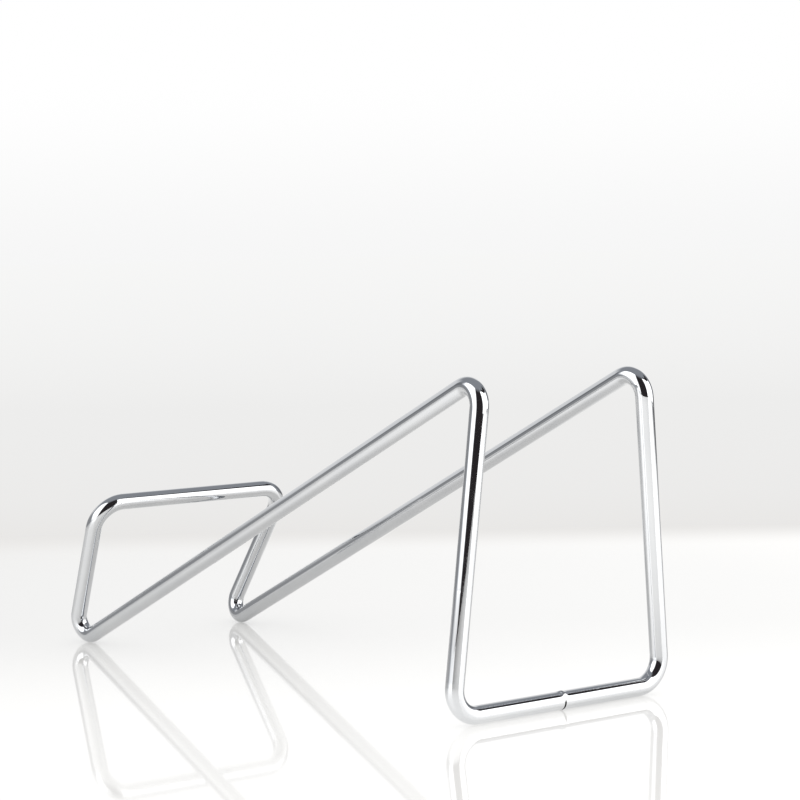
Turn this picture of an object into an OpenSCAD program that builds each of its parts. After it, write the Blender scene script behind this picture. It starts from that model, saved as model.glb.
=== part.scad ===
// Bottle rack for one bottle, made from a single round steel rod.
// The rod is bent at eight places into a closed loop and its two ends are
// butt-welded at the middle of the front foot.
//
// The loop, from the weld outwards on each side:
//   foot bar      flat on the table, across the front
//   foot bend     small bend at each end of the foot bar
//   front upright rises and leans inward to the top of the rack
//   top bend      tight fold over the top
//   rail          long straight run that slopes down to the rear
//   heel bend     tight fold that stands on the table
//   rear upright  short run that rises, leaning forward and outward
//   stop bend     turns into the bar that the bottle's base rests against
//   stop bar      across the rear, level with the table
//
// Millimetres.  Z is up, the table is Z = 0, the foot bar faces -Y, the stop
// bar is toward +Y, and the rack is symmetric about X = 0.  "Left" is -X.
// Widths and heights below are measured on the rod's centre line, at the
// corners where the centre lines of two straight runs would cross.

/* [Rod] */
// Diameter of the round rod
rod_d = 5; // [3:0.1:8]

/* [Front frame] */
// Width of the front foot, corner to corner
foot_w = 75; // [50:0.5:120]
// Width across the two top corners
top_w = 57; // [40:0.5:110]
// Height of the top corners above the table
top_z = 91; // [50:0.5:160]
// How far the top corners stand forward of the foot bar
top_lean = 3.5; // [-20:0.5:20]
// Centre line radius of the two foot bends
foot_r = 7.5; // [3:0.5:15]
// Centre line radius of the two top bends
top_r = 5.5; // [3:0.5:12]

/* [Rails and heels] */
// Width across the two heels, corner to corner
heel_w = 58; // [40:0.5:110]
// Distance from the foot bar back to the heel corners
heel_y = 197; // [120:0.5:300]
// Centre line radius of the two heel bends
heel_r = 4.5; // [3:0.5:12]

/* [Rear stop] */
// Width of the stop bar, corner to corner
stop_w = 71; // [40:0.5:110]
// Distance from the foot bar back to the stop bar
stop_y = 170; // [100:0.5:300]
// Height of the stop bar above the table
stop_z = 45.5; // [15:0.5:90]
// Centre line radius of the two stop bends
stop_r = 8; // [3:0.5:15]

/* [Weld] */
// Thickness of weld metal between the two rod ends
weld_t = 0.6; // [0.3:0.1:2]
// How far the dressed weld lies below the rod's surface
weld_undercut = 0.08; // [0:0.01:0.3]
// Diameter of the bead left proud near the top of the weld
bead_d = 1.4; // [0.8:0.1:3]
// How far the bead stands above the rod
bead_h = 0.25; // [0.1:0.05:1]
// How far the bead lies forward of the top, in degrees round the rod
bead_tilt = 20; // [0:5:45]

/* [Hidden] */
$fn = 96;
rod_r = rod_d / 2;

chrome = [0.80, 0.81, 0.83];
weld_grey = [0.55, 0.56, 0.58];

// ---------------------------------------------------------------- geometry

function unit(v) = v / norm(v);

// half of the angle inside corner b, between the runs to a and to c
function half_inside(a, b, c) =
    acos(max(-1, min(1, unit(a - b) * unit(c - b)))) / 2;

// distance from a corner to where its bend starts
function setback(r, a, b, c) = r / tan(half_inside(a, b, c));

function bend_start(r, a, b, c) = b + unit(a - b) * setback(r, a, b, c);
function bend_end(r, a, b, c)   = b + unit(c - b) * setback(r, a, b, c);
function bend_centre(r, a, b, c) =
    b + unit(unit(a - b) + unit(c - b)) * r / sin(half_inside(a, b, c));
function bend_normal(a, b, c) = unit(cross(b - a, c - b));

// furthest point of a bend's centre line along axis k, in direction s
function bend_extreme(r, a, b, c, k, s) =
    bend_centre(r, a, b, c)[k]
    + s * r * sqrt(1 - pow(bend_normal(a, b, c)[k], 2));

// corners of one side (s = -1 left, s = 1 right), before centring in Y
function foot_0(s) = [s * foot_w / 2, 0, rod_r];
function top_0(s)  = [s * top_w / 2, -top_lean, top_z];
function stop_0(s) = [s * stop_w / 2, stop_y, stop_z];
function heel_0(s, z) = [s * heel_w / 2, heel_y, z];

// The heel bend stands on the table, so the height of its corner follows
// from its radius.  A few repeats bring its lowest point to the table.
function heel_corner_z(z, n) =
    n == 0 ? z
           : heel_corner_z(z + rod_r - bend_extreme(heel_r, top_0(-1),
                           heel_0(-1, z), stop_0(-1), 2, -1), n - 1);
heel_z = heel_corner_z(0, 12);

// middle of the rack from front to rear, so that it is centred on Y = 0
y_front = min(-rod_r, bend_extreme(top_r, foot_0(-1), top_0(-1),
                                   heel_0(-1, heel_z), 1, -1) - rod_r);
y_rear = bend_extreme(heel_r, top_0(-1), heel_0(-1, heel_z),
                      stop_0(-1), 1, 1) + rod_r;
y_mid = (y_front + y_rear) / 2;

function weld_end(s) = [s * weld_t / 2, -y_mid, rod_r];
function foot(s) = foot_0(s) - [0, y_mid, 0];
function top(s)  = top_0(s) - [0, y_mid, 0];
function heel(s) = heel_0(s, heel_z) - [0, y_mid, 0];
function stop(s) = stop_0(s) - [0, y_mid, 0];

// ---------------------------------------------------------------- shapes

// straight length of rod from point a to point b
module run(a, b) {
    w = unit(b - a);
    u = unit(cross(abs(w[2]) < 0.9 ? [0, 0, 1] : [1, 0, 0], w));
    v = cross(w, u);
    multmatrix([[u[0], v[0], w[0], a[0]],
                [u[1], v[1], w[1], a[1]],
                [u[2], v[2], w[2], a[2]],
                [0, 0, 0, 1]])
        cylinder(d = rod_d, h = norm(b - a));
}

// bent length of rod round corner b, tangent to the runs a-b and b-c
module bend(r, a, b, c) {
    m = bend_centre(r, a, b, c);
    u = unit(bend_start(r, a, b, c) - m);
    w = unit(cross(u, bend_end(r, a, b, c) - m));
    v = cross(w, u);
    multmatrix([[u[0], v[0], w[0], m[0]],
                [u[1], v[1], w[1], m[1]],
                [u[2], v[2], w[2], m[2]],
                [0, 0, 0, 1]])
        rotate_extrude(angle = 180 - 2 * half_inside(a, b, c))
            translate([r, 0]) circle(d = rod_d);
}

module foot_bar(s) {
    run(weld_end(s), bend_start(foot_r, weld_end(s), foot(s), top(s)));
}
module foot_bend(s) { bend(foot_r, weld_end(s), foot(s), top(s)); }
module front_upright(s) {
    run(bend_end(foot_r, weld_end(s), foot(s), top(s)),
        bend_start(top_r, foot(s), top(s), heel(s)));
}
module top_bend(s) { bend(top_r, foot(s), top(s), heel(s)); }
module rail(s) {
    run(bend_end(top_r, foot(s), top(s), heel(s)),
        bend_start(heel_r, top(s), heel(s), stop(s)));
}
module heel_bend(s) { bend(heel_r, top(s), heel(s), stop(s)); }
module rear_upright(s) {
    run(bend_end(heel_r, top(s), heel(s), stop(s)),
        bend_start(stop_r, heel(s), stop(s), stop(-s)));
}
module stop_bend(s) { bend(stop_r, heel(s), stop(s), stop(-s)); }

// ---------------------------------------------------------------- nodes

// the two halves of the front foot, ending face to face at the weld
module foot_bar_left() color(chrome) foot_bar(-1);
module foot_bar_right() color(chrome) foot_bar(1);

// weld metal between the two rod ends, dressed just under the surface,
// with a small bead left proud, a little forward of the top
module butt_weld() color(weld_grey)
    difference() {
        union() {
            translate([-1.5 * weld_t, -y_mid, rod_r]) rotate([0, 90, 0])
                cylinder(d = rod_d - 2 * weld_undercut, h = 3 * weld_t);
            translate([0, -y_mid, rod_r]) rotate([bead_tilt, 0, 0])
                translate([0, 0, rod_r + bead_h - bead_d / 2])
                    sphere(d = bead_d);
        }
        foot_bar(-1);
        foot_bar(1);
    }

module foot_bend_left() color(chrome) foot_bend(-1);
module foot_bend_right() color(chrome) foot_bend(1);
module front_upright_left() color(chrome) front_upright(-1);
module front_upright_right() color(chrome) front_upright(1);
module top_bend_left() color(chrome) top_bend(-1);
module top_bend_right() color(chrome) top_bend(1);
module rail_left() color(chrome) rail(-1);
module rail_right() color(chrome) rail(1);
module heel_bend_left() color(chrome) heel_bend(-1);
module heel_bend_right() color(chrome) heel_bend(1);
module rear_upright_left() color(chrome) rear_upright(-1);
module rear_upright_right() color(chrome) rear_upright(1);
module stop_bend_left() color(chrome) stop_bend(-1);
module stop_bend_right() color(chrome) stop_bend(1);

// bar across the rear that the bottle's base rests against
module stop_bar() color(chrome)
    run(bend_end(stop_r, heel(-1), stop(-1), stop(1)),
        bend_end(stop_r, heel(1), stop(1), stop(-1)));

foot_bar_left();
foot_bar_right();
butt_weld();
foot_bend_left();
foot_bend_right();
front_upright_left();
front_upright_right();
top_bend_left();
top_bend_right();
rail_left();
rail_right();
heel_bend_left();
heel_bend_right();
rear_upright_left();
rear_upright_right();
stop_bend_left();
stop_bend_right();
stop_bar();
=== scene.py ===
"""Looks of the one-bottle wine rack: a single chromed steel rod, bent into a closed loop and butt-welded under the front.

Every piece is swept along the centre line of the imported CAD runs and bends, so it lies exactly where the CAD puts it.
"""

import math

import bpy
import numpy as np
from mathutils import Matrix, Vector


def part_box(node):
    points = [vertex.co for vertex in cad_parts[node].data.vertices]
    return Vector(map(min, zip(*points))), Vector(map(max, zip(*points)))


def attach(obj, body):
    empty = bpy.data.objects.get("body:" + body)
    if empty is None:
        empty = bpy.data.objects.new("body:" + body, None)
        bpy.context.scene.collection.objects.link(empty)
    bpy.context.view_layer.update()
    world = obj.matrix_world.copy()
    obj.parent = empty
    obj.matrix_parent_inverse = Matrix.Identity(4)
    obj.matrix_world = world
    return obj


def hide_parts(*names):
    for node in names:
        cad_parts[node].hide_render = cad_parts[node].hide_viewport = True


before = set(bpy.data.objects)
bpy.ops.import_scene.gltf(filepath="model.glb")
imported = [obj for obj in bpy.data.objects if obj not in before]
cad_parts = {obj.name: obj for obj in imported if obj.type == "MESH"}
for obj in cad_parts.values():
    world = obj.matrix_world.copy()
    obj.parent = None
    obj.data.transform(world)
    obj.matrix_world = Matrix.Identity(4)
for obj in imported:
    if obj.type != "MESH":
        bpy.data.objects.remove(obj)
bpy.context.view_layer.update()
scene = bpy.context.scene

# ------------------------------------------------------------------ the rod's path, read from the CAD nodes

RUNS = [
    "foot_bar_left", "front_upright_left", "rail_left", "rear_upright_left",
    "stop_bar",
    "rear_upright_right", "rail_right", "front_upright_right", "foot_bar_right",
]
BENDS = [
    "foot_bend_left", "top_bend_left", "heel_bend_left", "stop_bend_left",
    "stop_bend_right", "heel_bend_right", "top_bend_right", "foot_bend_right",
]


def unit(v):
    return v / np.linalg.norm(v)


def run_ends(node):
    """The two end centres of a straight run, and its radius."""
    co = np.array([v.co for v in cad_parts[node].data.vertices], float)
    co = np.unique(np.round(co, 7), axis=0)
    mid = (co.min(0) + co.max(0)) / 2
    axis = np.linalg.svd(co - mid, full_matrices=False)[2][0]
    for _ in range(3):
        side = unit(np.cross(axis, [0.3, 0.5, 0.8]))
        up = np.cross(axis, side)
        t = (co - mid) @ axis
        centres, radii = [], []
        for end in (t.min(), t.max()):
            ring = co[np.abs(t - end) < 3e-5] - mid
            x, y = ring @ side, ring @ up
            far = np.hypot(x - x.mean(), y - y.mean())
            x, y = x[far > 0.6 * far.max()], y[far > 0.6 * far.max()]
            a = np.c_[2 * x, 2 * y, np.ones_like(x)]
            cx, cy, k = np.linalg.lstsq(a, x * x + y * y, rcond=None)[0]
            centres.append(mid + axis * end + side * cx + up * cy)
            radii.append(math.sqrt(k + cx * cx + cy * cy))
        axis = unit(centres[1] - centres[0])
    return centres[0], centres[1], sum(radii) / 2


def nearest_on_lines(p, u, q, v):
    """The point midway between two lines where they come closest."""
    w = p - q
    b, d, e = u @ v, u @ w, v @ w
    k = 1 - b * b
    s, t = (b * e - d) / k, (e - b * d) / k
    return (p + u * s + q + v * t) / 2


ends = [run_ends(n) for n in RUNS]
ROD = sum(e[2] for e in ends) / len(ends)  # radius of the rod
weld_low, weld_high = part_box("butt_weld")
weld_mid = np.array((weld_low + weld_high) / 2)
start = weld_mid
lines = []
for a, b, _ in ends:
    if np.linalg.norm(a - start) > np.linalg.norm(b - start):
        a, b = b, a
    lines.append((a, b))
    start = b

PATH = []  # one dict per run or bend, in order round the loop
station = 0.0
normal = np.array([0.0, 0.0, 1.0])
for i, (a, b) in enumerate(lines):
    way = unit(b - a)
    normal = unit(normal - way * (normal @ way))
    PATH.append(
        {"node": RUNS[i], "s0": station, "s1": station + np.linalg.norm(b - a),
         "a": a, "way": way, "n": normal.copy(), "turn": None}
    )
    station = PATH[-1]["s1"]
    if i < len(BENDS):
        c, d = lines[i + 1]
        nxt = unit(d - c)
        corner = nearest_on_lines(b, way, c, nxt)
        u, v = unit(b - corner), unit(c - corner)
        half = math.acos(max(-1, min(1, u @ v))) / 2
        set_back = (np.linalg.norm(b - corner) + np.linalg.norm(c - corner)) / 2
        radius = set_back * math.tan(half)
        centre = corner + unit(u + v) * radius / math.sin(half)
        turn = unit(np.cross(b - centre, c - centre))
        angle = math.pi - 2 * half
        PATH.append(
            {"node": BENDS[i], "s0": station, "s1": station + radius * angle,
             "a": b, "way": way, "n": normal.copy(), "turn": turn,
             "centre": centre, "radius": radius, "angle": angle}
        )
        station = PATH[-1]["s1"]
        rot = np.array(Matrix.Rotation(angle, 3, Vector(turn)))
        normal = rot @ normal
LENGTH = station


def frames(s):
    """Centre, direction, normal and binormal of the rod at each station in s."""
    s = np.asarray(s, float)
    centre, way, nor = (np.zeros((len(s), 3)) for _ in range(3))
    for p in PATH:
        last = p is PATH[-1]
        first = p is PATH[0]
        here = ((s >= p["s0"]) | first) & ((s < p["s1"]) | last)
        if not here.any():
            continue
        d = s[here] - p["s0"]
        if p["turn"] is None:
            centre[here] = p["a"] + d[:, None] * p["way"]
            way[here], nor[here] = p["way"], p["n"]
        else:
            t = d / p["radius"]
            arm = p["a"] - p["centre"]
            out = np.cos(t)[:, None] * arm + np.sin(t)[:, None] * np.cross(p["turn"], arm)
            centre[here] = p["centre"] + out
            way[here] = np.cos(t)[:, None] * p["way"] + np.sin(t)[:, None] * np.cross(p["turn"], p["way"])
            n = p["n"]
            along = p["turn"] * (p["turn"] @ n)
            flat = n - along
            nor[here] = along + np.cos(t)[:, None] * flat + np.sin(t)[:, None] * np.cross(p["turn"], flat)
    return centre, way, nor, np.cross(way, nor)


def place_of(point):
    """(station, angle round the rod) of the surface point nearest to a point in the row frame."""
    s = np.arange(0, LENGTH, 0.0002)
    c, w, n, b = frames(s)
    k = np.argmin(np.linalg.norm(c - point, axis=1))
    d = np.asarray(point) - c[k]
    return s[k], math.atan2(d @ b[k], d @ n[k])


# ------------------------------------------------------------------ the rod's surface

MM = 0.001
SEGMENTS = 72
# the section of a bend is squeezed a little: share of the radius lost on its outer side
SQUEEZE = {"foot": 0.022, "top": 0.026, "heel": 0.032, "stop": 0.022}


def smooth(x):
    x = np.clip(x, 0, 1)
    return x * x * (3 - 2 * x)


for p in PATH:
    if p["turn"] is not None:
        p["squeeze"] = SQUEEZE[p["node"].split("_")[0]]
        inward = unit(p["centre"] - p["a"])
        p["in"] = math.atan2(inward @ np.cross(p["way"], p["n"]), inward @ p["n"])


WELD_HALF = float(np.linalg.norm(lines[0][0] - lines[-1][1]) / 2)  # half of the gap between the rod ends


def weld_x(s):
    """Distance from the weld along the foot bar: negative on its left."""
    return np.where(s < LENGTH / 2, -s - WELD_HALF, LENGTH - s + WELD_HALF)


rng = np.random.default_rng(7)
WAVES = [
    (rng.uniform(9, 45) * MM, rng.integers(0, 3), rng.uniform(0, 2 * math.pi), rng.uniform(0, 2 * math.pi))
    for _ in range(14)
]
DENTS = []  # (station, angle, depth, half length along, half length across)


def dent(point, depth, along, across):
    s, a = place_of(np.array(point))
    DENTS.append((s, a, depth * MM, along * MM, across * MM))


foot_y, foot_z = weld_mid[1], ROD


def on_foot_bar(x, tilt):
    """A point on the foot bar, tilt degrees above the horizontal, measured on its front."""
    t = math.radians(tilt)
    return (x * MM, foot_y - ROD * math.cos(t), foot_z + ROD * math.sin(t))


def skin(s, phi):
    """Radius of the rod at station s and angle phi."""
    r = np.full(np.broadcast(s, phi).shape, ROD)
    for p in PATH:
        if p["turn"] is None:
            continue
        e = 1.4 * MM
        on = smooth((s - p["s0"] + e) / (2 * e)) * smooth((p["s1"] + e - s) / (2 * e))
        if not np.any(on > 0):
            continue
        q = phi - p["in"]
        inner = 0.5 + 0.5 * np.cos(q)
        flat = 0.5 * (1 + np.cos(2 * q)) * (1 - 0.55 * inner)
        wide = 0.5 * (1 - np.cos(2 * q)) * inner
        r = r + ROD * p["squeeze"] * on * (0.45 * wide - flat)
    calm = smooth((np.minimum(s, LENGTH - s) - 1 * MM) / (4 * MM))
    for length, turns, a, b in WAVES:
        r = r + 0.0011 * MM * calm * np.sin(2 * math.pi * s / length + a) * np.cos(turns * phi + b)
    for ds, dp, depth, along, across in DENTS:
        if np.min(np.abs(s - ds)) > 5 * along:
            continue
        c = (phi - dp + math.pi) % (2 * math.pi) - math.pi
        g = ((s - ds) / along) ** 2 + (c * ROD / across) ** 2
        r = r - depth * np.exp(-g)
    return r


def weld_skin(x, d):
    """How far the surface stands above the plain rod near the weld. x is along the bar from the weld, and d is the way out from the middle of the bar."""
    up = d[..., 2]
    lean = 0.94 * up - 0.34 * d[..., 1]  # 1 at 20 degrees forward of the top
    swell = 0.09 * MM * np.exp(-((x / (0.95 * MM)) ** 2)) * (0.55 + 0.45 * up)
    depth = (0.28 - 0.24 * smooth((up + 0.15) / 0.5)) * MM
    groove = depth * np.exp(-((x / (0.22 * MM)) ** 2))
    bead = 0.22 * MM * np.exp(-(((x - 0.25 * MM) / (0.75 * MM)) ** 2)) * np.exp(
        -(((1 - lean) / 0.10) ** 2)
    )
    return swell - groove + bead


def surface(s, phi):
    """Points of the rod's skin for stations s (column) and angles phi (row)."""
    c, w, n, b = frames(s[:, 0])
    d = n[:, None] * np.cos(phi)[..., None] + b[:, None] * np.sin(phi)[..., None]
    r = skin(s, phi)
    x = weld_x(s)
    if np.min(np.abs(x)) < 6 * MM:
        r = r + weld_skin(x, d)
    return c[:, None] + d * r[..., None]


def weld_surface(x, phi):
    """Points of the weld's skin: x is along the foot bar from the middle of the weld."""
    d = np.zeros(phi.shape + (3,)) + np.stack([0 * phi, np.sin(phi), np.cos(phi)], -1)
    c = weld_centre + np.stack([x, 0 * x, 0 * x], -1)
    r = ROD + weld_skin(x, d)
    return c + d * r[..., None]


def stations(s0, s1, step, close=()):
    """Stations from s0 to s1 at most step apart, and finer within reach of each (place, reach, fine step)."""
    cuts = {s0, s1}
    for place, reach, _ in close:
        cuts |= {x for x in (place - reach, place + reach) if s0 < x < s1}
    cuts = sorted(cuts)
    out = [s0]
    for a, b in zip(cuts, cuts[1:]):
        mid = (a + b) / 2
        size = min([step] + [fine for place, reach, fine in close if abs(mid - place) < reach])
        out += list(np.linspace(a, b, max(1, math.ceil((b - a) / size)) + 1)[1:])
    return np.array(out)


def swept(name, s, skin_of, caps):
    """A closed length of rod through the stations s. Its shading follows the exact surface, so that neighbouring pieces meet without a line. caps are the ways its two flat ends face."""
    s = np.asarray(s, float)[:, None]
    phi = np.linspace(0, 2 * math.pi, SEGMENTS, endpoint=False)[None, :]
    pts = skin_of(s, phi)
    h, k = 2e-6, 1e-3
    nor = np.cross(
        skin_of(s, phi + k) - skin_of(s, phi - k), skin_of(s + h, phi) - skin_of(s - h, phi)
    )
    nor /= np.linalg.norm(nor, axis=-1, keepdims=True)
    rows, m = pts.shape[:2]
    hubs = [pts[0].mean(0), pts[-1].mean(0)]
    if np.mean(np.sum(nor[0] * (pts[0] - hubs[0]), -1)) < 0:
        nor = -nor
    i, j = np.meshgrid(np.arange(rows - 1), np.arange(m), indexing="ij")
    k = (j + 1) % m
    quads = np.stack([i * m + j, i * m + k, (i + 1) * m + k, (i + 1) * m + j], -1).reshape(-1, 4)
    a, b, c = (pts.reshape(-1, 3)[quads[0, q]] for q in (0, 1, 2))
    if np.cross(b - a, c - a) @ nor.reshape(-1, 3)[quads[0, 0]] < 0:
        quads = quads[:, ::-1]
    faces = quads.tolist()
    flat = nor.reshape(-1, 3)
    normals = [flat[v] for q in faces for v in q]
    verts = pts.reshape(-1, 3).tolist() + [x.tolist() for x in hubs]
    for row, hub, way in ((0, rows * m, caps[0]), (rows - 1, rows * m + 1, caps[1])):
        p = [np.array(verts[v]) for v in (hub, row * m, row * m + 1)]
        ahead = np.cross(p[1] - p[0], p[2] - p[0]) @ way > 0
        for j in range(m):
            a, b = row * m + j, row * m + (j + 1) % m
            faces.append([hub, a, b] if ahead else [hub, b, a])
            normals += [way] * 3
    me = bpy.data.meshes.new(name)
    me.from_pydata(verts, [], faces)
    me.polygons.foreach_set("use_smooth", [True] * len(me.polygons))
    me.normals_split_custom_set([Vector(v) for v in normals])
    # where a point is on the rod, in millimetres: along it, and round it as two coordinates
    rod = me.attributes.new("rod", "FLOAT_VECTOR", "POINT")
    turn = np.tile(phi[0], rows)
    xyz = np.c_[np.repeat(s[:, 0] / MM, m), 2.5 * np.cos(turn), 2.5 * np.sin(turn)]
    xyz = np.vstack([xyz, [s[0, 0] / MM, 0, 0], [s[-1, 0] / MM, 0, 0]])
    rod.data.foreach_set("vector", xyz.astype(np.float32).ravel())
    ob = bpy.data.objects.new(name, me)
    scene.collection.objects.link(ob)
    return ob


# ------------------------------------------------------------------ small marks, as geometry

# two shallow electrode marks beside the weld, and two small nicks in the plating
dent(on_foot_bar(12.3, 56), 0.035, 0.55, 0.45)
dent(on_foot_bar(13.4, 14), 0.022, 0.60, 0.25)
dent(on_foot_bar(-22.7, -44), 0.075, 0.35, 0.45)
dent((-0.0364, foot_y - 0.00226, 0.0358), 0.035, 0.35, 0.30)

# ------------------------------------------------------------------ materials


def node(nt, kind, **sets):
    n = nt.nodes.new(kind)
    for key, value in sets.items():
        if key in n.bl_rna.properties.keys():
            setattr(n, key, value)
        else:
            n.inputs[key].default_value = value
    return n


def material(name):
    m = bpy.data.materials.new(name)
    m.use_nodes = True
    nt = m.node_tree
    nt.nodes.clear()
    out = nt.nodes.new("ShaderNodeOutputMaterial")
    return m, nt, out


def chrome_material(name, tone, rough):
    """Bright chrome plate on drawn rod. tone is a pair of colours it drifts between, and rough a pair of roughnesses."""
    m, nt, out = material(name)
    L = nt.links.new
    at = node(nt, "ShaderNodeAttribute", attribute_name="rod")
    shader = node(nt, "ShaderNodeBsdfPrincipled", Metallic=1.0)
    # long drawing lines that run with the rod
    lines_at = node(nt, "ShaderNodeVectorMath", operation="MULTIPLY")
    lines_at.inputs[1].default_value = (0.035, 2.6, 2.6)
    L(at.outputs["Vector"], lines_at.inputs[0])
    lines_ = node(nt, "ShaderNodeTexNoise", Scale=1.0, Detail=4.0, Roughness=0.62)
    L(lines_at.outputs[0], lines_.inputs["Vector"])
    # slow drift of the plate, and handling smudges
    drift = node(nt, "ShaderNodeTexNoise", Scale=0.06, Detail=2.0, Roughness=0.5)
    L(at.outputs["Vector"], drift.inputs["Vector"])
    smudge = node(nt, "ShaderNodeTexNoise", Scale=0.22, Detail=5.0, Roughness=0.6, Distortion=0.6)
    L(at.outputs["Vector"], smudge.inputs["Vector"])
    # the faint orange peel of the plate
    peel = node(nt, "ShaderNodeTexNoise", Scale=0.75, Detail=1.0, Roughness=0.4)
    L(at.outputs["Vector"], peel.inputs["Vector"])
    both = node(nt, "ShaderNodeMath", operation="MULTIPLY_ADD")
    both.inputs[1].default_value = 0.45
    L(lines_.outputs["Fac"], both.inputs[0])
    L(drift.outputs["Fac"], both.inputs[2])
    ramp = node(nt, "ShaderNodeValToRGB")
    ramp.color_ramp.elements[0].position, ramp.color_ramp.elements[1].position = 0.45, 0.98
    ramp.color_ramp.elements[0].color = (*tone[0], 1)
    ramp.color_ramp.elements[1].color = (*tone[1], 1)
    L(both.outputs[0], ramp.inputs["Fac"])
    L(ramp.outputs["Color"], shader.inputs["Base Color"])
    smear = node(nt, "ShaderNodeMapRange", interpolation_type="SMOOTHSTEP")
    smear.inputs["From Min"].default_value, smear.inputs["From Max"].default_value = 0.5, 0.72
    smear.inputs["To Min"].default_value, smear.inputs["To Max"].default_value = rough
    L(smudge.outputs["Fac"], smear.inputs["Value"])
    grain = node(nt, "ShaderNodeMath", operation="MULTIPLY_ADD")
    grain.inputs[1].default_value = 0.03
    L(lines_.outputs["Fac"], grain.inputs[0])
    L(smear.outputs["Result"], grain.inputs[2])
    L(grain.outputs[0], shader.inputs["Roughness"])
    peel_bump = node(nt, "ShaderNodeBump", Strength=1.0, Distance=0.0000012)
    L(peel.outputs["Fac"], peel_bump.inputs["Height"])
    line_bump = node(nt, "ShaderNodeBump", Strength=1.0, Distance=0.0000004)
    L(lines_.outputs["Fac"], line_bump.inputs["Height"])
    L(peel_bump.outputs["Normal"], line_bump.inputs["Normal"])
    L(line_bump.outputs["Normal"], shader.inputs["Normal"])
    L(shader.outputs[0], out.inputs["Surface"])
    return m, nt, shader, at


chrome, *_ = chrome_material(
    "chrome_rod", ((0.60, 0.613, 0.632), (0.66, 0.668, 0.68)), (0.025, 0.075)
)


def weld_material():
    """The weld: plate that is duller over the weld metal, and a dark seam low in the groove where the plate is thin."""
    m, nt, shader, at = chrome_material(
        "weld", ((0.50, 0.505, 0.51), (0.60, 0.605, 0.61)), (0.07, 0.16)
    )
    L = nt.links.new
    ramp = shader.inputs["Base Color"].links[0].from_socket
    geo = node(nt, "ShaderNodeSeparateXYZ")
    L(at.outputs["Vector"], geo.inputs[0])
    # the groove: within 0.2 mm of the middle of the weld, and below the top of the rod
    near = node(nt, "ShaderNodeMath", operation="ABSOLUTE")
    L(geo.outputs["X"], near.inputs[0])
    seam = node(nt, "ShaderNodeMapRange", interpolation_type="SMOOTHSTEP")
    for key, value in (("From Min", 0.36), ("From Max", 0.26), ("To Min", 0.0), ("To Max", 1.0)):
        seam.inputs[key].default_value = value
    L(near.outputs[0], seam.inputs["Value"])
    low = node(nt, "ShaderNodeMapRange", interpolation_type="SMOOTHSTEP")
    for key, value in (("From Min", 0.5), ("From Max", -0.3), ("To Min", 0.0), ("To Max", 1.0)):
        low.inputs[key].default_value = value
    L(geo.outputs["Y"], low.inputs["Value"])
    dark = node(nt, "ShaderNodeMath", operation="MULTIPLY")
    L(seam.outputs["Result"], dark.inputs[0])
    L(low.outputs["Result"], dark.inputs[1])
    mix = node(nt, "ShaderNodeMix", data_type="RGBA")
    L(dark.outputs[0], mix.inputs["Factor"])
    L(ramp, mix.inputs[6])
    mix.inputs[7].default_value = (0.020, 0.019, 0.018, 1)
    L(mix.outputs[2], shader.inputs["Base Color"])
    return m


weld_mat = weld_material()

# ------------------------------------------------------------------ the pieces, one for each CAD node

weld_centre = np.array([(lines[0][0][0] + lines[-1][1][0]) / 2, foot_y, lines[0][0][2]])
for p in PATH:
    close = [(d[0], 5 * d[3] / 2.2, 0.09 * MM) for d in DENTS]
    close += [(0.0, 3.2 * MM, 0.08 * MM), (LENGTH, 3.2 * MM, 0.08 * MM)]
    step = 1.5 * MM if p["turn"] is None else p["radius"] * math.radians(2.0)
    if p["turn"] is None:
        close += [(p["s0"], 1.6 * MM, 0.3 * MM), (p["s1"], 1.6 * MM, 0.3 * MM)]
    s = stations(p["s0"], p["s1"], step, close)
    c, w, n, b = frames(np.array([p["s0"], p["s1"]]))
    if p["turn"] is None:
        w = np.array([p["way"], p["way"]])
    piece = swept("rod_" + p["node"], s, surface, (-w[0], w[1]))
    piece.data.materials.append(chrome)
    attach(piece, "root")
    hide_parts(p["node"])

x = np.linspace(-WELD_HALF, WELD_HALF, 25)
piece = swept("weld_seam", x, weld_surface, (np.array([-1.0, 0, 0]), np.array([1.0, 0, 0])))
piece.data.materials.append(weld_mat)
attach(piece, "root")
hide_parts("butt_weld")

# ------------------------------------------------------------------ camera

YAW, PITCH, ROLL = (math.radians(v) for v in (-38.946, 3.799, -0.945))
ahead = Vector((-math.sin(YAW) * math.cos(PITCH), math.cos(YAW) * math.cos(PITCH), -math.sin(PITCH)))
right = ahead.cross(Vector((0, 0, 1))).normalized()
up = right.cross(ahead)
cam_x = right * math.cos(ROLL) + up * math.sin(ROLL)
cam_y = up * math.cos(ROLL) - right * math.sin(ROLL)
cam = bpy.data.objects.new("camera", bpy.data.cameras.new("camera"))
cam.matrix_world = Matrix.Translation((-0.457335, -0.594317, 0.128213)) @ Matrix(
    (cam_x, cam_y, -ahead)
).transposed().to_4x4()
cam.data.sensor_width = 36.0
cam.data.lens = 115.72
cam.data.clip_start, cam.data.clip_end = 0.01, 100
scene.collection.objects.link(cam)
scene.camera = cam

# ------------------------------------------------------------------ studio

view_way = Vector((ahead.x, ahead.y, 0)).normalized()  # level, from the camera to the rack


def toward(azimuth):
    a = math.radians(azimuth)
    return Vector((math.sin(a), math.cos(a), 0))


def only_gloss(ob):
    ob.visible_camera = ob.visible_diffuse = ob.visible_transmission = False
    ob.visible_volume_scatter = ob.visible_shadow = False
    ob.visible_glossy = True


EYE = Vector((0.0, foot_y, 0.045))  # the middle of the front frame


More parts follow.
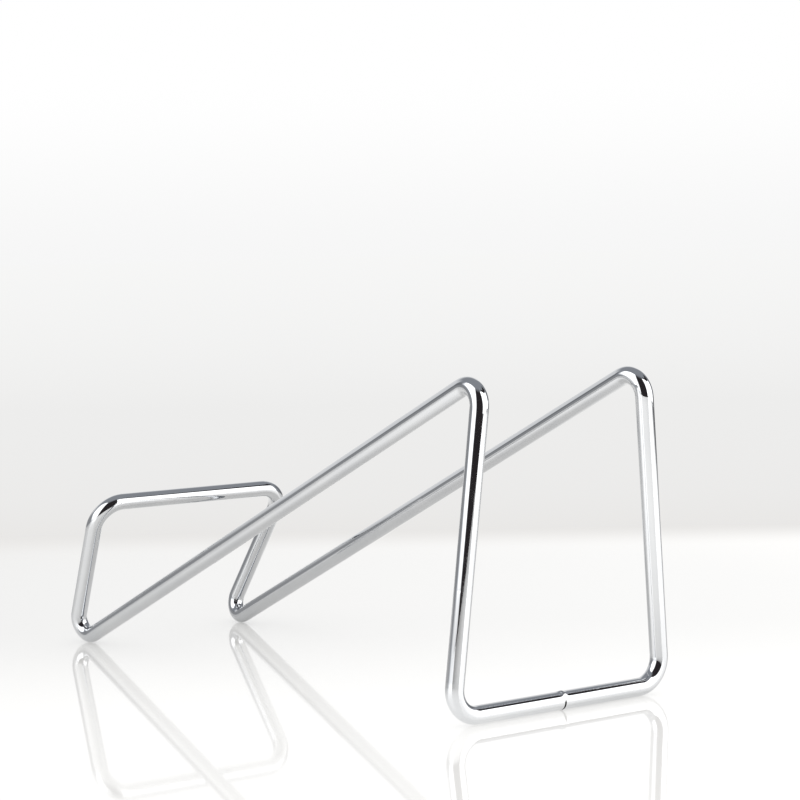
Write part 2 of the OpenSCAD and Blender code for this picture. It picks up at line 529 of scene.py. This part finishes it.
def panel(name, facing, distance, corners, strength, colour=(1, 1, 1), eye=EYE):
    """A flat upright panel that only reflections see, and that fades out at its border.

    facing is the azimuth of its middle. corners go round it, each an azimuth and an elevation as the front frame sees
    them, and how wide the fade is there, in millimetres.
    """
    out = toward(facing)
    side = Vector((out.y, -out.x, 0))
    flat = []
    for az, el, _ in corners:
        off = math.radians(az - facing)
        flat.append((distance * math.tan(off), distance / math.cos(off) * math.tan(math.radians(el))))
    flat = np.array(flat)
    count = len(flat)
    after, before = np.roll(flat, -1, 0) - flat, flat - np.roll(flat, 1, 0)
    area = np.sum(flat[:, 0] * np.roll(flat[:, 1], -1) - np.roll(flat[:, 0], -1) * flat[:, 1])
    turn = 1 if area > 0 else -1
    n1, n2 = (turn * np.c_[e[:, 1], -e[:, 0]] / np.linalg.norm(e, axis=1)[:, None] for e in (before, after))
    outward = (n1 + n2) / (1 + np.sum(n1 * n2, 1))[:, None]
    fade = np.array([c[2] * MM / 2 for c in corners])[:, None]
    pts, glow = [], []
    for ring, value in ((flat + outward * fade, 0.0), (flat - outward * fade, 1.0)):
        pts += [eye + out * distance + side * u + Vector((0, 0, z)) for u, z in ring]
        glow += [value] * count
    faces = [(i, (i + 1) % count, count + (i + 1) % count, count + i) for i in range(count)]
    faces.append(tuple(range(count, 2 * count)))
    me = bpy.data.meshes.new(name)
    me.from_pydata(pts, [], faces)
    me.attributes.new("glow", "FLOAT", "POINT").data.foreach_set("value", glow)
    ob = bpy.data.objects.new(name, me)
    scene.collection.objects.link(ob)
    m, nt, o = material(name)
    emit = node(nt, "ShaderNodeEmission", Strength=strength)
    emit.inputs["Color"].default_value = (*colour, 1)
    at = node(nt, "ShaderNodeAttribute", attribute_name="glow")
    clear = node(nt, "ShaderNodeBsdfTransparent")
    mix = node(nt, "ShaderNodeMixShader")
    nt.links.new(at.outputs["Fac"], mix.inputs["Fac"])
    nt.links.new(clear.outputs[0], mix.inputs[1])
    nt.links.new(emit.outputs[0], mix.inputs[2])
    nt.links.new(mix.outputs[0], o.inputs["Surface"])
    me.materials.append(m)
    only_gloss(ob)
    return ob


BLACK = (0.030, 0.026, 0.028)
# two large softboxes either side of the camera, and a black card over the right one
panel("softbox_right", 132, 0.90, [(101, -2.9, 60), (176, -2.9, 60), (176, 58, 60), (150, 54, 40), (122, 36, 30), (98, 30, 30)], 2.3, (1.0, 0.996, 0.988))
panel("card_right", 132, 0.92, [(88, 29.5, 10), (97, 29.5, 10), (122, 34.5, 10), (150, 52.5, 10), (150, 62, 30), (122, 48.5, 20), (90, 45.5, 20)], 1.0, BLACK)
panel("softbox_left", -78, 0.72, [(-104, -3, 150), (-70, -2.5, 160), (-57, 4, 200), (-40, 22, 200), (-39, 44, 180), (-62, 60, 180), (-104, 64, 180)], 2.3)
# a grey card far behind and to the left, standing on the table
panel("card_back", -21, 0.56, [(-47, -4.5, 50), (6, -4.5, 50), (6, 9, 90), (-47, 9, 90)], 1.0, (0.35, 0.355, 0.365))

# the table: a pale glossy sheet. Its back edge crosses the view behind the rack, and reflections also see its front edge
me = bpy.data.meshes.new("table")
me.from_pydata([(-9, -9, 0), (9, -9, 0), (9, 9, 0), (-9, 9, 0)], [], [(0, 1, 2, 3)])
table = bpy.data.objects.new("table", me)
scene.collection.objects.link(table)
m, nt, out = material("table")
L = nt.links.new
path = node(nt, "ShaderNodeLightPath")
where = node(nt, "ShaderNodeNewGeometry")
# shade under the rack, which only its own reflections show
oval = node(nt, "ShaderNodeVectorMath", operation="MULTIPLY")
oval.inputs[1].default_value = (1 / 0.085, 1 / 0.115, 0)
shift = node(nt, "ShaderNodeVectorMath", operation="SUBTRACT")
shift.inputs[1].default_value = (0.02, 0.02, 0)
L(where.outputs["Position"], shift.inputs[0])
L(shift.outputs[0], oval.inputs[0])
reach = node(nt, "ShaderNodeVectorMath", operation="LENGTH")
L(oval.outputs[0], reach.inputs[0])
shade = node(nt, "ShaderNodeMapRange", interpolation_type="SMOOTHSTEP")
shade.inputs["From Min"].default_value, shade.inputs["From Max"].default_value = 1.15, 0.55
shade.inputs["To Min"].default_value, shade.inputs["To Max"].default_value = 0.0, 0.24
L(reach.outputs["Value"], shade.inputs["Value"])
shade_on = node(nt, "ShaderNodeMath", operation="MULTIPLY")
L(shade.outputs["Result"], shade_on.inputs[0])
L(path.outputs["Is Glossy Ray"], shade_on.inputs[1])
# the table as the camera sees it: paler toward the front and the right
away = node(nt, "ShaderNodeVectorMath", operation="DOT_PRODUCT")
away.inputs[1].default_value = tuple(view_way)
L(where.outputs["Position"], away.inputs[0])
fore = node(nt, "ShaderNodeMapRange", interpolation_type="SMOOTHSTEP")
fore.inputs["From Min"].default_value, fore.inputs["From Max"].default_value = 0.10, -0.10
fore.inputs["To Min"].default_value, fore.inputs["To Max"].default_value = 0.0, 0.19
L(away.outputs["Value"], fore.inputs["Value"])
across = node(nt, "ShaderNodeVectorMath", operation="DOT_PRODUCT")
across.inputs[1].default_value = (0.5 * right.x, 0.5 * right.y, 0)
L(where.outputs["Position"], across.inputs[0])
sides = node(nt, "ShaderNodeMath", operation="ADD")
L(fore.outputs["Result"], sides.inputs[0])
L(across.outputs["Value"], sides.inputs[1])
pale = node(nt, "ShaderNodeMath", operation="ADD", use_clamp=True)
pale.inputs[1].default_value = 0.48
L(sides.outputs[0], pale.inputs[0])
# and as reflections see it: painted light, brighter well in front of the rack
apron_painted_light = node(nt, "ShaderNodeMapRange", interpolation_type="SMOOTHSTEP")
apron_painted_light.inputs["From Min"].default_value, apron_painted_light.inputs["From Max"].default_value = 0.0, -0.22
apron_painted_light.inputs["To Min"].default_value, apron_painted_light.inputs["To Max"].default_value = 0.58, 1.20
L(away.outputs["Value"], apron_painted_light.inputs["Value"])
full = node(nt, "ShaderNodeMath", operation="SUBTRACT")
L(apron_painted_light.outputs["Result"], full.inputs[0])
L(shade_on.outputs[0], full.inputs[1])
glow = node(nt, "ShaderNodeMix", data_type="FLOAT")
L(path.outputs["Is Camera Ray"], glow.inputs[0])
L(full.outputs[0], glow.inputs[2])
L(pale.outputs[0], glow.inputs[3])
lit = node(nt, "ShaderNodeEmission")
lit.inputs["Color"].default_value = (1.0, 0.994, 0.977, 1)
L(glow.outputs[0], lit.inputs["Strength"])
matt = node(nt, "ShaderNodeBsdfDiffuse")
matt.inputs["Color"].default_value = (0.34, 0.338, 0.334, 1)
sheet = node(nt, "ShaderNodeAddShader")
L(matt.outputs[0], sheet.inputs[0])
L(lit.outputs[0], sheet.inputs[1])
mirror_ = node(nt, "ShaderNodeBsdfGlossy", Roughness=0.045)
mirror_.inputs["Color"].default_value = (1, 1, 1, 1)
fresnel = node(nt, "ShaderNodeFresnel", IOR=1.47)
most = node(nt, "ShaderNodeMath", operation="MULTIPLY_ADD")
most.inputs[1].default_value, most.inputs[2].default_value = 0.42, 0.43
L(path.outputs["Is Glossy Ray"], most.inputs[0])
gloss = node(nt, "ShaderNodeMath", operation="MINIMUM")
L(fresnel.outputs[0], gloss.inputs[0])
L(most.outputs[0], gloss.inputs[1])
# the camera sees a plain floor away from the rack, with no lamps mirrored in it
reach2 = node(nt, "ShaderNodeVectorMath", operation="LENGTH")
L(where.outputs["Position"], reach2.inputs[0])
wide = node(nt, "ShaderNodeMapRange", interpolation_type="SMOOTHSTEP")
wide.inputs["From Min"].default_value, wide.inputs["From Max"].default_value = 0.22, 0.42
wide.inputs["To Min"].default_value, wide.inputs["To Max"].default_value = 0.0, 0.9
L(reach2.outputs["Value"], wide.inputs["Value"])
dull = node(nt, "ShaderNodeMath", operation="MULTIPLY")
L(wide.outputs["Result"], dull.inputs[0])
L(path.outputs["Is Camera Ray"], dull.inputs[1])
bright = node(nt, "ShaderNodeMath", operation="SUBTRACT")
bright.inputs[0].default_value = 1.0
L(dull.outputs[0], bright.inputs[1])
gloss2 = node(nt, "ShaderNodeMath", operation="MULTIPLY")
L(gloss.outputs[0], gloss2.inputs[0])
L(bright.outputs[0], gloss2.inputs[1])
coat = node(nt, "ShaderNodeMixShader")
L(gloss2.outputs[0], coat.inputs["Fac"])
L(sheet.outputs[0], coat.inputs[1])
L(mirror_.outputs[0], coat.inputs[2])
along = node(nt, "ShaderNodeVectorMath", operation="DOT_PRODUCT")
along.inputs[1].default_value = tuple(view_way)
L(where.outputs["Position"], along.inputs[0])
back = node(nt, "ShaderNodeMapRange", interpolation_type="SMOOTHSTEP")
back.inputs["From Min"].default_value, back.inputs["From Max"].default_value = 0.272, 0.345
L(along.outputs["Value"], back.inputs["Value"])
wall_tone = node(nt, "ShaderNodeValToRGB")
wall_tone.color_ramp.elements[0].color = (0.815, 0.805, 0.792, 1)
wall_tone.color_ramp.elements[1].color = (0.934, 0.934, 0.93, 1)
for key, tone in ((0.30, (0.835, 0.83, 0.822)), (0.70, (0.85, 0.848, 0.842)), (0.90, (0.905, 0.905, 0.90))):
    wall_tone.color_ramp.elements.new(key).color = (*tone, 1)
far = node(nt, "ShaderNodeMath", operation="DIVIDE")  # near 0 at the back edge, 1 at the horizon
far.inputs[0].default_value = 0.34
L(along.outputs["Value"], far.inputs[1])
far2 = node(nt, "ShaderNodeMath", operation="SUBTRACT")
far2.inputs[0].default_value = 1.0
L(far.outputs[0], far2.inputs[1])
L(far2.outputs[0], wall_tone.inputs["Fac"])
wall = node(nt, "ShaderNodeEmission")
L(wall_tone.outputs["Color"], wall.inputs["Color"])
first = node(nt, "ShaderNodeMixShader")
L(back.outputs["Result"], first.inputs["Fac"])
L(coat.outputs[0], first.inputs[1])
L(wall.outputs[0], first.inputs[2])
front = node(nt, "ShaderNodeMath", operation="LESS_THAN")
front.inputs[1].default_value = -0.575
L(along.outputs["Value"], front.inputs[0])
place = node(nt, "ShaderNodeSeparateXYZ")
L(where.outputs["Position"], place.inputs[0])
side = node(nt, "ShaderNodeMapRange", interpolation_type="SMOOTHSTEP")
side.inputs["From Min"].default_value, side.inputs["From Max"].default_value = 0.38, 0.90
L(place.outputs["X"], side.inputs["Value"])
beyond = node(nt, "ShaderNodeMath", operation="MAXIMUM")
L(front.outputs[0], beyond.inputs[0])
L(side.outputs["Result"], beyond.inputs[1])
void_tone = node(nt, "ShaderNodeMix", data_type="RGBA")
L(front.outputs[0], void_tone.inputs["Factor"])
void_tone.inputs[6].default_value = (0.20, 0.20, 0.205, 1)
void_tone.inputs[7].default_value = (*BLACK, 1)
unseen = node(nt, "ShaderNodeMath", operation="MULTIPLY")
L(beyond.outputs[0], unseen.inputs[0])
L(path.outputs["Is Glossy Ray"], unseen.inputs[1])
void = node(nt, "ShaderNodeEmission")
L(void_tone.outputs[2], void.inputs["Color"])
second = node(nt, "ShaderNodeMixShader")
L(unseen.outputs[0], second.inputs["Fac"])
L(first.outputs[0], second.inputs[1])
L(void.outputs[0], second.inputs[2])
L(second.outputs[0], out.inputs["Surface"])
me.materials.append(m)

# the room: pale behind the rack, mid grey overhead, dark on the camera's side. The camera sees a plain pale wall
world = bpy.data.worlds.new("studio")
scene.world = world
world.use_nodes = True
nt = world.node_tree
nt.nodes.clear()
L = nt.links.new
out = nt.nodes.new("ShaderNodeOutputWorld")
way = node(nt, "ShaderNodeTexCoord")
flat = node(nt, "ShaderNodeVectorMath", operation="MULTIPLY")
flat.inputs[1].default_value = (1, 1, 0)
L(way.outputs["Generated"], flat.inputs[0])
level = node(nt, "ShaderNodeVectorMath", operation="NORMALIZE")
L(flat.outputs[0], level.inputs[0])
height = node(nt, "ShaderNodeSeparateXYZ")
L(way.outputs["Generated"], height.inputs[0])


def sector(azimuth, half, soft=2.5):
    """1 within half degrees of an azimuth, 0 outside."""
    d = node(nt, "ShaderNodeVectorMath", operation="DOT_PRODUCT")
    d.inputs[1].default_value = tuple(toward(azimuth))
    L(level.outputs[0], d.inputs[0])
    r = node(nt, "ShaderNodeMapRange", interpolation_type="SMOOTHSTEP")
    r.inputs["From Min"].default_value = math.cos(math.radians(half + soft))
    r.inputs["From Max"].default_value = math.cos(math.radians(half - soft))
    L(d.outputs["Value"], r.inputs["Value"])
    return r.outputs["Result"]


def below(elevation, soft=4.0):
    """1 below an elevation, 0 above."""
    r = node(nt, "ShaderNodeMapRange", interpolation_type="SMOOTHSTEP")
    r.inputs["From Min"].default_value = math.sin(math.radians(elevation + soft))
    r.inputs["From Max"].default_value = math.sin(math.radians(elevation - soft))
    L(height.outputs["Z"], r.inputs["Value"])
    return r.outputs["Result"]


def both_of(a, b):
    n = node(nt, "ShaderNodeMath", operation="MULTIPLY")
    L(a, n.inputs[0])
    L(b, n.inputs[1])
    return n.outputs[0]


def paint(under, mask, colour):
    n = node(nt, "ShaderNodeMix", data_type="RGBA")
    L(mask, n.inputs["Factor"])
    if isinstance(under, tuple):
        n.inputs[6].default_value = (*under, 1)
    else:
        L(under, n.inputs[6])
    n.inputs[7].default_value = (*colour, 1)
    return n.outputs[2]


room = paint((0.33, 0.345, 0.375), both_of(sector(18.5, 39.5), below(32, 11)), (0.90, 0.905, 0.915))
room = paint(room, both_of(sector(-29.5, 4.5), below(24, 8)), (0.22, 0.225, 0.235))
room = paint(room, both_of(sector(75, 14), below(22, 8)), (0.20, 0.205, 0.22))
room = paint(room, both_of(sector(-143, 43), below(66, 12)), BLACK)
wall = node(nt, "ShaderNodeMapRange", interpolation_type="SMOOTHSTEP")
wall.inputs["From Min"].default_value, wall.inputs["From Max"].default_value = -0.015, 0.06
wall.inputs["To Min"].default_value, wall.inputs["To Max"].default_value = 0.925, 1.0
L(height.outputs["Z"], wall.inputs["Value"])
seen = node(nt, "ShaderNodeCombineColor")
for key in ("Red", "Green", "Blue"):
    L(wall.outputs["Result"], seen.inputs[key])
rays = node(nt, "ShaderNodeLightPath")
sky = node(nt, "ShaderNodeBackground")
sky.inputs["Color"].default_value = (1.0, 0.995, 0.985, 1)
sky.inputs["Strength"].default_value = 1.38
refl = node(nt, "ShaderNodeBackground")
L(room, refl.inputs["Color"])
plain = node(nt, "ShaderNodeBackground")
L(seen.outputs["Color"], plain.inputs["Color"])
mix1 = node(nt, "ShaderNodeMixShader")
L(rays.outputs["Is Glossy Ray"], mix1.inputs["Fac"])
L(sky.outputs[0], mix1.inputs[1])
L(refl.outputs[0], mix1.inputs[2])
mix2 = node(nt, "ShaderNodeMixShader")
L(rays.outputs["Is Camera Ray"], mix2.inputs["Fac"])
L(mix1.outputs[0], mix2.inputs[1])
L(plain.outputs[0], mix2.inputs[2])
L(mix2.outputs[0], out.inputs["Surface"])

scene.view_settings.view_transform = "Standard"
scene.view_settings.look = "None"
